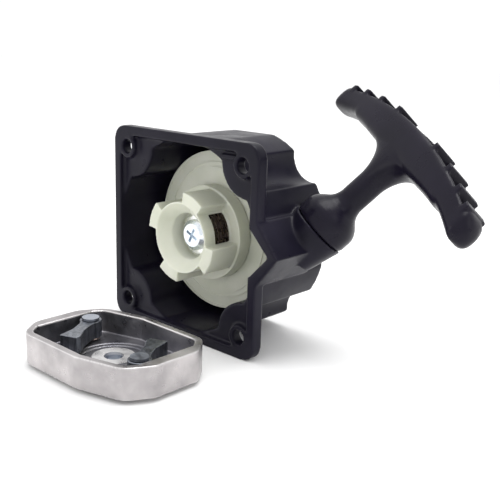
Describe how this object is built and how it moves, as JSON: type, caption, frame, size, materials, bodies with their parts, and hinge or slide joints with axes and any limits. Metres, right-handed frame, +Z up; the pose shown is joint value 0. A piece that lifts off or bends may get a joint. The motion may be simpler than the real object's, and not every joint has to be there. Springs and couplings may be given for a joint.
{
  "type": "recoil starter",
  "caption": "Pull-rope recoil starter: square flanged shell, rope reel with sprung drive claw, T-grip, and a loose cup with pawls for the crankshaft.",
  "frame": {"origin": "centre of the four mounting holes, on the crank axis in the flange's mounting plane", "axes": "+X right and +Z up as seen from the open side, +Y along the crank axis into the shell"},
  "size_m": [0.1482, 0.1333, 0.0968],
  "materials": {
    "charcoal_plastic": "satin moulded charcoal plastic",
    "zinc_steel": "bright zinc plate",
    "spring_steel": "dark oiled steel",
    "nylon": "cream nylon, slightly translucent",
    "rope": "braided nylon cord",
    "grip_plastic": "satin moulded charcoal plastic",
    "cast_aluminium": "as-cast light grey",
    "pawl_steel": "dark sintered steel"
  },
  "bodies": {
    "shell": {"housing": "charcoal_plastic", "outlet_bush": "zinc_steel", "post_bush": "spring_steel", "spring_cover": "spring_steel", "recoil_spring": "spring_steel", "rope_lead": "rope", "centre_screw": "zinc_steel", "screw_washer": "zinc_steel"},
    "grip": {"handle": "grip_plastic", "handle_knot": "rope", "knot_washer": "zinc_steel", "rope_tail": "rope"},
    "rope_reel": {"reel": "nylon", "reel_knot": "rope", "rope_coil": "rope"},
    "claw": {"drive_claw": "nylon", "buffer_spring": "spring_steel"},
    "cup": {"pawl_cup": "cast_aluminium", "crank_insert": "zinc_steel", "cup_washer": "cast_aluminium", "pawl_pin_a": "zinc_steel", "pawl_pin_b": "zinc_steel", "pawl_clips": "zinc_steel", "pawl_spring_a": "spring_steel", "pawl_spring_b": "spring_steel"},
    "pawl_one": {"pawl_a": "pawl_steel"},
    "pawl_two": {"pawl_b": "pawl_steel"}
  },
  "joints": [
    {"name": "handle_pull", "type": "slide", "parent": "shell", "child": "grip", "axis": [0.5478, 0.4398, 0.7117], "range_m": [0, 0.75], "stiffness_N_per_m": 15, "springref_m": -0.4},
    {"name": "reel_spin", "type": "hinge", "parent": "shell", "child": "rope_reel", "pos_m": [0, 0.025, 0], "axis": [0, -1, 0], "range_deg": [-1, 1760]},
    {"name": "claw_windup", "type": "hinge", "parent": "rope_reel", "child": "claw", "pos_m": [0, 0.01, 0], "axis": [0, -1, 0], "range_deg": [-120, 0], "stiffness_Nm_per_rad": 0.5},
    {"name": "cup_lift", "type": "slide", "parent": "shell", "child": "cup", "axis": [0, 0, 1], "range_m": [0, 0.1]},
    {"name": "pawl_a_swing", "type": "hinge", "parent": "cup", "child": "pawl_one", "pos_m": [-0.0113, -0.0328, -0.0335], "axis": [0, 0, 1], "range_deg": [-25, 0], "stiffness_Nm_per_rad": 0.02},
    {"name": "pawl_b_swing", "type": "hinge", "parent": "cup", "child": "pawl_two", "pos_m": [0.0293, -0.0436, -0.0335], "axis": [0, 0, 1], "range_deg": [-25, 0], "stiffness_Nm_per_rad": 0.02}
  ],
  "couplings": [
    {"joint": "reel_spin", "follows": "handle_pull", "rad_per_m": 40.5}
  ]
}
